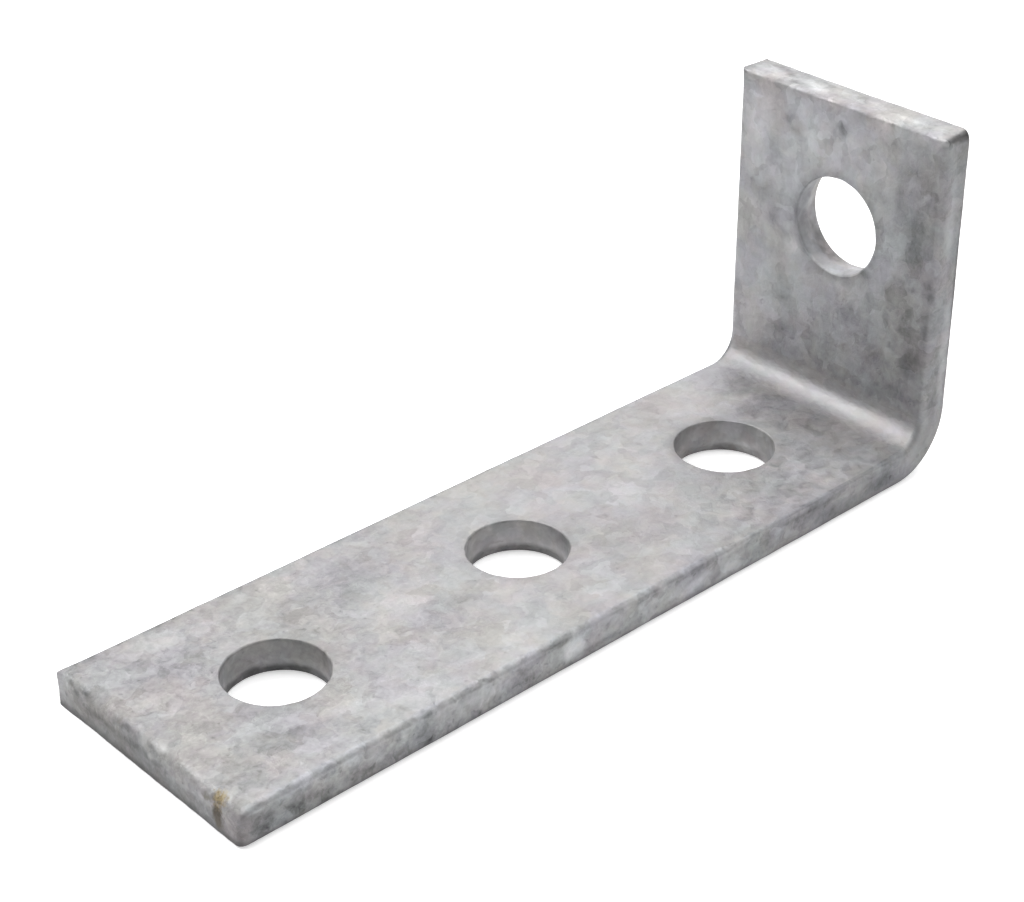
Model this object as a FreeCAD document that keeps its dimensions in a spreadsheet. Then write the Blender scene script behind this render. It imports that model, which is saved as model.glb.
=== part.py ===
import FreeCAD, Part
import os
import sys

# Angle bracket: one length of hot-rolled flat steel bar, sheared to length,
# punched with four bolt holes, folded once to a right angle and hot-dip
# galvanised.  Millimetres, +Z up.
#
# Frame: the long leg lies flat on z = 0 along X, the short leg stands at the
# +X end.  The origin is the middle of the footprint: half way along the long
# leg, half way across the bar, on the underside.

DIMENSIONS = [
    # alias, value in mm (a plain number), what it is
    ("bar_width", "41.3", "width of the flat bar"),
    ("bar_thickness", "6.0", "thickness of the flat bar"),
    ("long_leg", "137.0", "long leg, from the outside of the short leg to the sheared end"),
    ("short_leg", "57.0", "short leg, from the underside to the sheared top"),
    ("bend_inside", "4.5", "radius inside the bend; outside it is this plus the thickness"),
    ("rolled_edge", "1.4", "rounding of the bar's four long rolled edges"),
    ("sheared_edge", "0.45", "rounding round the two sheared end faces"),
    ("hole_size", "15.0", "diameter of the three holes in the long leg"),
    ("hole_from_heel", "28.5", "first hole's centre from the outside of the short leg"),
    ("hole_pitch", "43.7", "centre to centre along the long leg"),
    ("upper_hole_size", "16.0", "diameter of the hole in the short leg"),
    ("upper_hole_height", "36.3", "upper hole's centre above the underside"),
    ("hole_edge", "0.8", "rounding of the hole mouths, punch roll-over and zinc"),
]
HOLES_IN_ROW = 3

doc = FreeCAD.newDocument("angle_bracket")

sheet = doc.addObject("Spreadsheet::Sheet", "dims")
for row, (alias, value, note) in enumerate(DIMENSIONS, start=1):
    sheet.set("A%d" % row, alias)
    sheet.set("B%d" % row, value)
    sheet.set("C%d" % row, note)
    sheet.setAlias("B%d" % row, alias)
doc.recompute()


def dim(alias):
    return float(sheet.get(alias))


V = FreeCAD.Vector
body = doc.addObject("PartDesign::Body", "bracket")
body.Label = "angle_bracket"


def origin_plane(role):
    for feature in body.Origin.OriginFeatures:
        if getattr(feature, "Role", "") == role:
            return feature
    raise RuntimeError("no origin plane " + role)


def new_sketch(name, role):
    sketch = body.newObject("Sketcher::SketchObject", name)
    sketch.AttachmentSupport = (origin_plane(role), [""])
    sketch.MapMode = "FlatFace"
    return sketch


def constrain(sketch, *args):
    import Sketcher
    return sketch.addConstraint(Sketcher.Constraint(*args))


def drive(sketch, name, expression, *args):
    """A named dimension of a sketch, bound to the sheet."""
    index = constrain(sketch, *args)
    sketch.renameConstraint(index, name)
    sketch.setExpression("Constraints." + name, expression)


def check(features):
    doc.recompute()
    for feature in features:
        bad = [word for word in feature.State if word in ("Invalid", "Error")]
        if bad:
            raise RuntimeError("%s is %s" % (feature.Name, feature.State))


# ---------------------------------------------------------------- folded bar
# Side view of the bar on the XZ plane: two straight legs joined by the bend,
# whose inside and outside arcs share one centre so the bar keeps its
# thickness through the fold.
half = dim("long_leg") / 2
t = dim("bar_thickness")
inner = dim("bend_inside")
outer = inner + t
top = dim("short_leg")

side = new_sketch("side_view", "XZ_Plane")
corners = [
    (-half, 0), (half - outer, 0),            # underside
    (half, outer), (half, top),               # outside of the short leg
    (half - t, top), (half - t, t + inner),   # inside of the short leg
    (half - outer, t), (-half, t),            # upper face of the long leg
]
P = [V(x, z, 0) for x, z in corners]
centre = V(half - outer, outer, 0)
underside = side.addGeometry(Part.LineSegment(P[0], P[1]), False)
outside_arc = side.addGeometry(
    Part.ArcOfCircle(Part.Circle(centre, V(0, 0, 1), outer), -1.5707963267948966, 0.0), False)
back = side.addGeometry(Part.LineSegment(P[2], P[3]), False)
short_end = side.addGeometry(Part.LineSegment(P[3], P[4]), False)
inside_wall = side.addGeometry(Part.LineSegment(P[4], P[5]), False)
inside_arc = side.addGeometry(
    Part.ArcOfCircle(Part.Circle(centre, V(0, 0, 1), inner), -1.5707963267948966, 0.0), False)
upper_face = side.addGeometry(Part.LineSegment(P[6], P[7]), False)
long_end = side.addGeometry(Part.LineSegment(P[7], P[0]), False)

for line in (underside, upper_face, short_end):
    constrain(side, "Horizontal", line)
for line in (back, inside_wall, long_end):
    constrain(side, "Vertical", line)
constrain(side, "Tangent", underside, 2, outside_arc, 1)
constrain(side, "Tangent", outside_arc, 2, back, 1)
constrain(side, "Coincident", back, 2, short_end, 1)
constrain(side, "Coincident", short_end, 2, inside_wall, 1)
constrain(side, "Tangent", inside_wall, 2, inside_arc, 2)
constrain(side, "Tangent", inside_arc, 1, upper_face, 1)
constrain(side, "Coincident", upper_face, 2, long_end, 1)
constrain(side, "Coincident", long_end, 2, underside, 1)
constrain(side, "Coincident", inside_arc, 3, outside_arc, 3)
drive(side, "inside_radius", "dims.bend_inside", "Radius", inside_arc, inner)
drive(side, "thickness", "dims.bar_thickness", "DistanceY", long_end, 2, long_end, 1, t)
drive(side, "height", "dims.short_leg", "DistanceY", back, 2, top)
drive(side, "heel", "dims.long_leg / 2", "DistanceX", back, 2, half)
drive(side, "free_end", "dims.long_leg", "DistanceX", long_end, 2, back, 2, 2 * half)
constrain(side, "PointOnObject", long_end, 2, -1)

bar = body.newObject("PartDesign::Pad", "folded_bar")
bar.Profile = side
bar.Type = 0
bar.SideType = "Symmetric"
bar.setExpression("Length", "dims.bar_width")
side.Visibility = False
check([side, bar])

# ------------------------------------------------------------- punched holes
# One circle on the underside, repeated along the long leg.
row = new_sketch("row_hole", "XY_Plane")
x0 = half - dim("hole_from_heel")
circle = row.addGeometry(Part.Circle(V(x0, 0, 0), V(0, 0, 1), dim("hole_size") / 2), False)
drive(row, "bore", "dims.hole_size", "Diameter", circle, dim("hole_size"))
drive(row, "from_middle", "dims.long_leg / 2 - dims.hole_from_heel", "DistanceX", circle, 3, x0)
constrain(row, "PointOnObject", circle, 3, -1)

row_punch = body.newObject("PartDesign::Pocket", "row_punch")
row_punch.Profile = row
row_punch.Type = "ThroughAll"
row_punch.Reversed = True
row.Visibility = False
check([row, row_punch])

pattern = body.newObject("PartDesign::LinearPattern", "row_of_holes")
pattern.Originals = [row_punch]
pattern.Direction = (row, ["H_Axis"])
pattern.Reversed = True
pattern.Occurrences = HOLES_IN_ROW
pattern.setExpression("Length", "dims.hole_pitch * %d" % (HOLES_IN_ROW - 1))
body.Tip = pattern
check([pattern])

# One hole through the short leg, on the bar's centre line.
upper = new_sketch("upper_hole", "YZ_Plane")
z0 = dim("upper_hole_height")
circle = upper.addGeometry(Part.Circle(V(0, z0, 0), V(0, 0, 1), dim("upper_hole_size") / 2), False)
drive(upper, "bore", "dims.upper_hole_size", "Diameter", circle, dim("upper_hole_size"))
drive(upper, "height", "dims.upper_hole_height", "DistanceY", circle, 3, z0)
constrain(upper, "PointOnObject", circle, 3, -2)

upper_punch = body.newObject("PartDesign::Pocket", "upper_punch")
upper_punch.Profile = upper
upper_punch.Type = "ThroughAll"
upper_punch.Reversed = True
upper.Visibility = False
check([upper, upper_punch])

PI = 3.141592653589793
area = ((half * 2 - outer) + (top - outer)) * t + PI / 4 * (outer ** 2 - inner ** 2)
plain = area * dim("bar_width")
drilled = plain - PI / 4 * t * (HOLES_IN_ROW * dim("hole_size") ** 2 + dim("upper_hole_size") ** 2)
if abs(bar.Shape.Volume - plain) > 1.0:
    raise RuntimeError("folded bar %.1f mm3, expected %.1f" % (bar.Shape.Volume, plain))
if abs(upper_punch.Shape.Volume - drilled) > 1.0:
    raise RuntimeError("punched bar %.1f mm3, expected %.1f" % (upper_punch.Shape.Volume, drilled))


# ------------------------------------------------------------ rounded edges
def edges_where(feature, test):
    names = []
    for number, edge in enumerate(feature.Shape.Edges, start=1):
        points = [edge.valueAt(edge.FirstParameter + f * (edge.LastParameter - edge.FirstParameter))
                  for f in (0.0, 0.25, 0.5, 0.75, 1.0)]
        if test(edge, points):
            names.append("Edge%d" % number)
    return names


def near(a, b):
    return abs(a - b) < 1e-5


def add_fillet(name, base, names, expression, expected):
    if len(names) != expected:
        raise RuntimeError("%s: %d edges, expected %d" % (name, len(names), expected))
    fillet = body.newObject("PartDesign::Fillet", name)
    fillet.Base = (base, names)
    fillet.setExpression("Radius", expression)
    check([fillet])
    return fillet


side_y = dim("bar_width") / 2


def on_side(points):
    return all(near(abs(p.y), side_y) for p in points)


def on_end(points):
    return all(near(p.x, -half) for p in points) or all(near(p.z, top) for p in points)


# the four long edges left by the rolling mill, right through the bend
rolled = add_fillet(
    "rolled_edges", upper_punch,
    edges_where(upper_punch, lambda e, pts: on_side(pts) and not on_end(pts)),
    "dims.rolled_edge", 12)

# the rim of each sheared end face
sheared = add_fillet(
    "sheared_edges", rolled,
    edges_where(rolled, lambda e, pts: on_end(pts)),
    "dims.sheared_edge", 16)

# both mouths of each hole
mouths = add_fillet(
    "hole_mouths", sheared,
    edges_where(sheared, lambda e, pts: e.isClosed() and isinstance(e.Curve, Part.Circle)),
    "dims.hole_edge", 2 * (HOLES_IN_ROW + 1))
body.Tip = mouths

# --------------------------------------------------------------- final tests
doc.recompute()
for thing in doc.Objects:
    for word in getattr(thing, "State", []):
        if word in ("Invalid", "Error"):
            raise RuntimeError("%s is %s" % (thing.Name, thing.State))
shape = body.Shape
if shape.isNull() or not shape.isValid() or len(shape.Solids) != 1:
    raise RuntimeError("the bracket isn't one valid solid")
box = shape.optimalBoundingBox(False, False)
want = (2 * half, dim("bar_width"), top)
got = (box.XLength, box.YLength, box.ZLength)
if max(abs(a - b) for a, b in zip(want, got)) > 0.01:
    raise RuntimeError("size %s, expected %s" % (got, want))
if not (drilled - 700 < shape.Volume < drilled):
    raise RuntimeError("rounded edges took %.1f mm3" % (drilled - shape.Volume))

os.makedirs("parts", exist_ok=True)
solid = shape.Solids[0]
solid.exportStep("parts/angle_bracket.step")
print("angle_bracket: %.2f x %.2f x %.2f mm, %.1f mm3, %.4f kg of steel" % (
    got[0], got[1], got[2], shape.Volume, shape.Volume * 7.85e-6))
sys.stdout.flush()
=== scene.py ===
import math

import bpy
import numpy as np
from mathutils import Matrix, Vector
from mathutils.geometry import delaunay_2d_cdt


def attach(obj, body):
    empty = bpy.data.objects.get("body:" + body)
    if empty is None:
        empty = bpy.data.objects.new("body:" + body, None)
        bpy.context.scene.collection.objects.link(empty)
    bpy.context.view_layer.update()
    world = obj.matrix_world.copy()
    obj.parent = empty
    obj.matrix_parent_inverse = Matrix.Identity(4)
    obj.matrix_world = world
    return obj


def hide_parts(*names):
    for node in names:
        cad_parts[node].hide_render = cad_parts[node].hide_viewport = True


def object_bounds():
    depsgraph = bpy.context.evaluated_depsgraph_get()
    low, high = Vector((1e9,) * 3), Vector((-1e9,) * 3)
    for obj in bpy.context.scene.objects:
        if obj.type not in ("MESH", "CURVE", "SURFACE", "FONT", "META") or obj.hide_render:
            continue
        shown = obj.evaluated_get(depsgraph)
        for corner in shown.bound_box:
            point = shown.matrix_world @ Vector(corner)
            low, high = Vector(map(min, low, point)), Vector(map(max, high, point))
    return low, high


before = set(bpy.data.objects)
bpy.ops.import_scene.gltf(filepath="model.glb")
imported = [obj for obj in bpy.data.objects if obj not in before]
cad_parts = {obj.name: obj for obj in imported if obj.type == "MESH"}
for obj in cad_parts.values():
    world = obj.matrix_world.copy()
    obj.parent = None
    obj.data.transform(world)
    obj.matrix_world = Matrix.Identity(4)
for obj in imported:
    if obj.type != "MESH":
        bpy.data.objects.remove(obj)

CAD_BOX = [[float(c) for c in corner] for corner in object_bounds()]

# ---------------------------------------------------------------- sizes, mm
T = 6.0  # bar thickness
HALF = 20.65  # half the bar's width
V_NEAR, V_FAR = -20.62, 20.47  # its two rolled edges, which the sheared ends spread past
RI, RO = 4.5, 10.5  # bend radii
LA = 126.5  # straight part of the long leg
LB = (RI + T / 2) * math.pi / 2  # bend, along the middle of the thickness
LC = 46.5  # straight part of the short leg
LT = LA + LB + LC
X0 = -68.5  # sheared end of the long leg
HOLES = [  # place along the bar, across it, radius, rounding of the mouth on the inside and on the outside
    (21.05, 0.12, 7.41, (0.30, 0.35), (0.50, 0.45)),
    (64.7, 0.38, 7.56, (0.30, 0.35), (0.50, 0.45)),
    (108.1, -0.06, 7.86, (0.24, 0.30), (0.50, 0.45)),
    (LA + LB + 36.3 - 10.5 + 0.29, -0.58, 7.92, (0.35, 0.40), (0.30, 0.30)),
]
STEP = 0.58  # mesh size on the flat faces


def fold(p):
    """From the flat blank (along, across, through) to the bent bracket, in mm."""
    u, v, w = p[:, 0], p[:, 1], p[:, 2]
    th = np.clip((u - LA) / LB, 0, 1) * (math.pi / 2)
    rho = RO - w
    cx, cz = X0 + LA, RO
    x = np.where(u < LA, X0 + u, cx + rho * np.sin(th))
    z = np.where(u < LA, w, cz - rho * np.cos(th))
    over = np.clip(u - LA - LB, 0, None)
    return np.stack([x, v, z + over], 1)


# ---------------------------------------------------------------- noise
def _tables(seed):
    r = np.random.RandomState(seed)
    perm = r.permutation(256)
    g = r.normal(size=(256, 3))
    return np.concatenate([perm, perm, perm]), g / np.linalg.norm(g, axis=1)[:, None]


def noise(p, seed=0):
    """Gradient noise, about -1 to 1."""
    perm, g = _tables(seed)
    i = np.floor(p).astype(int)
    f = p - i
    i &= 255
    s = f * f * f * (f * (f * 6 - 15) + 10)
    out = 0.0
    for dx in (0, 1):
        for dy in (0, 1):
            for dz in (0, 1):
                h = perm[perm[perm[(i[:, 0] + dx) & 255] + ((i[:, 1] + dy) & 255)] + ((i[:, 2] + dz) & 255)]
                d = f - np.array([dx, dy, dz])
                wgt = (
                    (s[:, 0] if dx else 1 - s[:, 0])
                    * (s[:, 1] if dy else 1 - s[:, 1])
                    * (s[:, 2] if dz else 1 - s[:, 2])
                )
                out = out + wgt * (g[h] * d).sum(1)
    return out * 1.5


def fbm(p, octaves=3, seed=0, gain=0.5):
    out, a, tot = 0.0, 1.0, 0.0
    for k in range(octaves):
        out = out + a * noise(p * 2.03**k + 17.3 * k, seed + k)
        tot += a
        a *= gain
    return out / tot


def smooth(a, b, x):
    t = np.clip((x - a) / (b - a), 0, 1)
    return t * t * (3 - 2 * t)


# ---------------------------------------------------------------- mesh of the flat blank
def rounded_rectangle(d0, d1, dn, df, radii):
    """One ring at the four insets: start end, far end, near edge, far edge. radii are those of its corners, in the order
    start-near, end-near, end-far, start-far. Points go round the same way for every ring.
    Returns the points and, for each, how much it belongs to the ends (1) rather than the long edges (0)."""
    ua, ub, va, vb = d0, LT - d1, V_NEAR + dn, V_FAR - df
    nl, ns, nc = int(LT / STEP), int(2 * HALF / STEP), 6
    cs = [(ua, va, 1, 1), (ub, va, -1, 1), (ub, vb, -1, -1), (ua, vb, 1, -1)]
    pts, ends = [], []
    for k in range(4):
        (cu, cv, su, sv), r = cs[k], radii[k]
        (nu, nv, s2u, s2v), r2 = cs[(k + 1) % 4], radii[(k + 1) % 4]
        a0 = math.pi + k * math.pi / 2
        for j in range(nc + 1):
            a = a0 + math.pi / 2 * j / nc
            pts.append((cu + su * r + r * math.cos(a), cv + sv * r + r * math.sin(a)))
            ends.append(math.cos(a) ** 2)
        if k in (0, 2):
            p0, p1, n = (cu + su * r, cv), (nu + s2u * r2, nv), nl
        else:
            p0, p1, n = (cu, cv + sv * r), (nu, nv + s2v * r2), ns
        for j in range(1, n):
            t = j / n
            pts.append((p0[0] + (p1[0] - p0[0]) * t, p0[1] + (p1[1] - p0[1]) * t))
            ends.append(0.0 if k in (0, 2) else 1.0)
    return np.array(pts), np.array(ends)


# roundings as (run along the face, drop down the wall), mm
LONG_TOP, LONG_BOT = (1.15, 1.05), (1.3, 1.3)
START_TOP, START_BOT = (2.1, 1.9), (0.35, 0.35)
END_TOP, END_BOT = (0.8, 0.75), (0.3, 0.3)
N_ARC, N_WALL = 7, 12
OUT_IN, HOLE_IN = 2.6, 1.8  # where the flat face's own mesh stops


def profile(lip_top, lip_bot, inner):
    """Rings from the top face over the edge to the bottom face: (inset, height) for a given pair of roundings."""
    out = [(inner, T)]
    for k in range(N_ARC + 1):
        a = k / N_ARC * math.pi / 2
        out.append((lip_top[0] * (1 - math.sin(a)), T - lip_top[1] * (1 - math.cos(a))))
    for k in range(1, N_WALL):
        t = k / N_WALL
        out.append((0.0, (T - lip_top[1]) * (1 - t) + lip_bot[1] * t))
    for k in range(N_ARC + 1):
        a = math.pi / 2 * (1 - k / N_ARC)
        out.append((lip_bot[0] * (1 - math.sin(a)), lip_bot[1] * (1 - math.cos(a))))
    out.append((inner, 0.0))
    return out


verts, quads, tris = [], [], []


def add(points):
    start = sum(len(v) for v in verts)
    verts.append(np.asarray(points, float))
    return start


def ring_strip(starts, n):
    idx = np.arange(n)
    nxt = (idx + 1) % n
    for a, b in zip(starts[:-1], starts[1:]):
        quads.append(np.stack([a + idx, b + idx, b + nxt, a + nxt], 1))


# the outer edge: its roundings differ at the sheared ends and along the rolled edges
prof_long = profile(LONG_TOP, LONG_BOT, OUT_IN)
prof_start = profile(START_TOP, START_BOT, OUT_IN)
prof_end = profile(END_TOP, END_BOT, OUT_IN)
starts, loops_in = [], []
last = len(prof_long) - 1
for k, (pl, ps, pe) in enumerate(zip(prof_long, prof_start, prof_end)):
    fade = max(0.0, 1 - max(pl[0], ps[0], pe[0]) / 2.0)
    depth = 1 - pl[1] / T  # 0 at the top face, 1 at the underside
    radii = [0.06 + fade * r for r in (0.75 + 0.9 * depth, 0.5 + 1.5 * depth, 0.35, 0.2)]
    xy, ends = rounded_rectangle(ps[0], pe[0], pl[0], pl[0], radii)
    at_start = xy[:, 0] < LT / 2
    # the roll-over of the cut is deep along most of the start end and shallow at its far corner
    f = 1 - 0.62 * smooth(13.5, 18.5, xy[:, 1])
    f = np.where(at_start, f, 1.0)
    if 0 < k < last:
        xy[:, 0] += np.where(at_start, (f - 1) * ps[0] * ends, 0)
    w_end = np.where(at_start, np.where(ps[1] > T / 2, T - (T - ps[1]) * f, ps[1]), pe[1])
    w = pl[1] * (1 - ends) + w_end * ends
    if k in (0, last):
        loops_in.append(xy)
    starts.append(add(np.column_stack([xy, w])))
n_outer = len(xy)
ring_strip(starts, n_outer)
outer_top, outer_bot = starts[0], starts[-1]

hole_rings = []
for hu, hv, hr, lip_top, lip_bot in HOLES:
    n = 120
    a = np.arange(n) / n * 2 * math.pi
    hs = []
    # the punch breaks out low down, so the hole flares there, to one side and unevenly
    start_w = 2.1 + 0.35 * np.sin(3 * a + hu) + 0.25 * np.sin(7 * a + 2 * hu) + 0.12 * np.sin(17 * a + hu)
    for d, w in profile(lip_top, lip_bot, HOLE_IN):
        side, top_w = (0.12 + 0.70 * np.clip(np.cos(a - 0.84), 0, 1) ** 1.6, start_w) if hu < LA else (0.62 + 0.62 * np.sin(a) - 0.14 * np.cos(a), start_w + 1.8)
        flare = 0.0 if d == HOLE_IN else side * np.clip((top_w - w) / top_w, 0, 1) ** 1.15
        hs.append(add(np.column_stack([hu + (hr + d + flare) * np.cos(a), hv + (hr + d + flare) * np.sin(a), np.full(n, w)])))
    ring_strip(hs[::-1], n)
    hole_rings.append((hs[0], hs[-1], n, hu, hv, hr + HOLE_IN))


def flat_face(level, outer_start, which, step, flip):
    """Triangles between the outer ring and the holes' rings at one side of the bar."""
    loop = loops_in[0 if which == "top" else 1]
    pts, ids, edges = list(map(tuple, loop)), list(range(outer_start, outer_start + n_outer)), []
    for i in range(n_outer):
        edges.append((i, (i + 1) % n_outer))
    for top0, bot0, n, hu, hv, hr in hole_rings:
        base = len(pts)
        s = top0 if which == "top" else bot0
        a = np.arange(n) / n * 2 * math.pi
        pts += list(zip(hu + hr * np.cos(a), hv + hr * np.sin(a)))
        ids += list(range(s, s + n))
        edges += [(base + i, base + (i + 1) % n) for i in range(n)]
    rng = np.random.RandomState(5)
    rows = []
    j = 0
    for v in np.arange(V_NEAR, V_FAR, step * 0.866):
        us = np.arange((j % 2) * step / 2, LT, step)
        rows.append(np.column_stack([us, np.full(len(us), v)]))
        j += 1
    g = np.concatenate(rows)
    g += rng.uniform(-0.12, 0.12, g.shape) * step
    m = (g[:, 0] > OUT_IN + 0.3) & (g[:, 0] < LT - OUT_IN - 0.3) & (g[:, 1] > V_NEAR + OUT_IN + 0.3) & (g[:, 1] < V_FAR - OUT_IN - 0.3)
    for _, _, n, hu, hv, hr in hole_rings:
        m &= np.hypot(g[:, 0] - hu, g[:, 1] - hv) > hr + 0.28
    g = g[m]
    start = add(np.column_stack([g, np.full(len(g), level)]))
    pts += list(map(tuple, g))
    ids += list(range(start, start + len(g)))
    res = delaunay_2d_cdt([Vector((float(a), float(b))) for a, b in pts], edges, [], 0, 1e-5, True)
    co = np.array([tuple(p) for p in res[0]])
    faces = np.array([f for f in res[2] if len(f) == 3])
    back = np.array([o[0] if len(o) else -1 for o in res[3]])
    ids = np.array(ids)
    c = co[faces].mean(1)
    keep = (c[:, 0] > OUT_IN) & (c[:, 0] < LT - OUT_IN) & (c[:, 1] > V_NEAR + OUT_IN) & (c[:, 1] < V_FAR - OUT_IN)
    for _, _, n, hu, hv, hr in hole_rings:
        dx, dy = c[:, 0] - hu, c[:, 1] - hv
        a = (np.arctan2(dy, dx) % (2 * math.pi / n)) - math.pi / n
        keep &= np.hypot(dx, dy) * np.cos(a) > hr * math.cos(math.pi / n)
    faces = faces[keep]
    q = co[faces]
    area = (q[:, 1, 0] - q[:, 0, 0]) * (q[:, 2, 1] - q[:, 0, 1]) - (q[:, 2, 0] - q[:, 0, 0]) * (q[:, 1, 1] - q[:, 0, 1])
    faces = np.where((area > 0)[:, None], faces, faces[:, ::-1])
    if flip:
        faces = faces[:, ::-1]
    tris.append(ids[back[faces]])


flat_face(T, outer_top, "top", STEP, False)
flat_face(0.0, outer_bot, "bottom", STEP * 1.25, True)

B = np.concatenate(verts)  # blank coordinates, along, across, through
# the rolled edge towards the viewer is crisper on the stretch before the bend
m = (B[:, 1] - V_NEAR < LONG_TOP[0] + 0.01) & (B[:, 2] > T - LONG_TOP[1] - 0.01)
f = np.where(m, 1 - 0.50 * smooth(82, 94, B[:, 0]) * (1 - smooth(LA - 8, LA + 3, B[:, 0])), 1.0)
B[:, 1] = V_NEAR + (B[:, 1] - V_NEAR) * f
B[:, 2] = T - (T - B[:, 2]) * f
Q = np.concatenate(quads)
F = np.concatenate(tris)
u, v, w = B[:, 0], B[:, 1], B[:, 2]

# ---------------------------------------------------------------- where things are, for shape and finish
d_hole = np.full(len(B), 99.0)
for hu, hv, hr, _, _ in HOLES:
    d_hole = np.minimum(d_hole, np.hypot(u - hu, v - hv) - hr)
d_long = np.minimum(v - V_NEAR, V_FAR - v)
d_start = u
d_end = LT - u
d_out = np.minimum(np.minimum(d_long, d_start), d_end)
in_wall = (w > 0.01) & (w < T - 0.01)
wall_hole = (d_hole < 1.25) & in_wall
on_top = w > T / 2
bend = smooth(LA - 3, LA + 1.5, u) * (1 - smooth(LA + LB - 1.5, LA + LB + 3, u))
bend_mid = np.exp(-(((u - LA - LB / 2) / 4.2) ** 2))


def vertex_normals(P):
    n = np.zeros_like(P)
    allt = np.concatenate([F, Q[:, [0, 1, 2]], Q[:, [0, 2, 3]]])
    a, b, c = P[allt[:, 0]], P[allt[:, 1]], P[allt[:, 2]]
    fn = np.cross(b - a, c - a)
    for k in range(3):
        np.add.at(n, allt[:, k], fn)
    return n / np.maximum(np.linalg.norm(n, axis=1), 1e-12)[:, None]


P = fold(B)
N = vertex_normals(P)
if (np.cross(P[F[:, 1]] - P[F[:, 0]], P[F[:, 2]] - P[F[:, 0]]) * P[F[:, 0]]).sum() < 0:
    raise SystemExit("the faces point inwards")

# ---------------------------------------------------------------- uneven steel and zinc
edge = np.exp(-((np.minimum(d_out, 3) / 1.6) ** 2))
hole_edge = np.exp(-((np.clip(d_hole, 0, 3) / 1.0) ** 2))
disp = 0.030 * fbm(B / [24, 17, 17], 3, 11)
disp += 0.016 * fbm(B / [5.5, 4.5, 4.5], 3, 21) * (1 - 0.6 * bend * on_top)
disp += 0.007 * noise(B / 1.5, 31) * (1 - 0.8 * bend * on_top)
disp += edge * (0.045 * fbm(B / [9, 9, 5], 2, 41) + 0.018 * noise(B / [2.6, 2.6, 2.0], 43) - 0.02)
disp += hole_edge * 0.035 * fbm(B / 2.4, 2, 51)
disp += wall_hole * (d_hole < 0.4) * (0.045 * noise(B / [1.7, 1.7, 2.4], 61) + 0.02 * noise(B / 0.9, 63))
disp += bend * on_top * 0.035 * noise(B / [3.2, 7.0, 3.0], 71)
# the sheared ends: torn low down, and spread a little past the rolled edges at the far corners
torn = np.exp(-((np.minimum(d_start, d_end) / 0.5) ** 2)) * in_wall
disp += torn * (0.05 * noise(B / [9, 1.4, 1.1], 81) + 0.05 * noise(B / [9, 3.5, 2.2], 83) - 0.05)
spread = np.exp(-((d_start / 2.2) ** 2)) + np.exp(-((d_end / 1.8) ** 2))
# dross pimples and little runs of zinc
rng = np.random.RandomState(77)
for k in range(150):
    pu, pv = rng.uniform(1, LT - 1), rng.uniform(-HALF + 1, HALF - 1)
    r = rng.uniform(0.5, 1.1)
    h = rng.uniform(0.03, 0.10)
    face = rng.rand() < 0.5
    m = np.exp(-(((u - pu) ** 2 + (v - pv) ** 2) / (r * r))) * (on_top if face else ~on_top)
    disp += h * m * (d_hole > 0.8) * (1 - bend * on_top)
P = P + N * disp[:, None]
P[:, 1] += 0.17 * spread * smooth(10.0, V_FAR, v)

lo, hi = np.array(CAD_BOX[0]) * 1000, np.array(CAD_BOX[1]) * 1000
P = np.clip(P, lo, hi)

# ---------------------------------------------------------------- the piece
mesh = bpy.data.meshes.new("galvanised_bracket")
mesh.vertices.add(len(P))
mesh.vertices.foreach_set("co", (P / 1000).astype(np.float32).ravel())
nl = len(Q) * 4 + len(F) * 3
mesh.loops.add(nl)
mesh.loops.foreach_set("vertex_index", np.concatenate([Q.ravel(), F.ravel()]).astype(np.int32))
mesh.polygons.add(len(Q) + len(F))
ls = np.concatenate([np.arange(len(Q)) * 4, len(Q) * 4 + np.arange(len(F)) * 3]).astype(np.int32)
mesh.polygons.foreach_set("loop_start", ls)
mesh.update(calc_edges=True)
mesh.validate()
mesh.shade_smooth()


def attribute(name, values):
    if np.ndim(values) == 2:
        a = mesh.attributes.new(name, "FLOAT_VECTOR", "POINT")
        a.data.foreach_set("vector", np.asarray(values, np.float32).ravel())
    else:
        a = mesh.attributes.new(name, "FLOAT", "POINT")
        a.data.foreach_set("value", np.asarray(values, np.float32))


attribute("blank", B)

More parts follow.
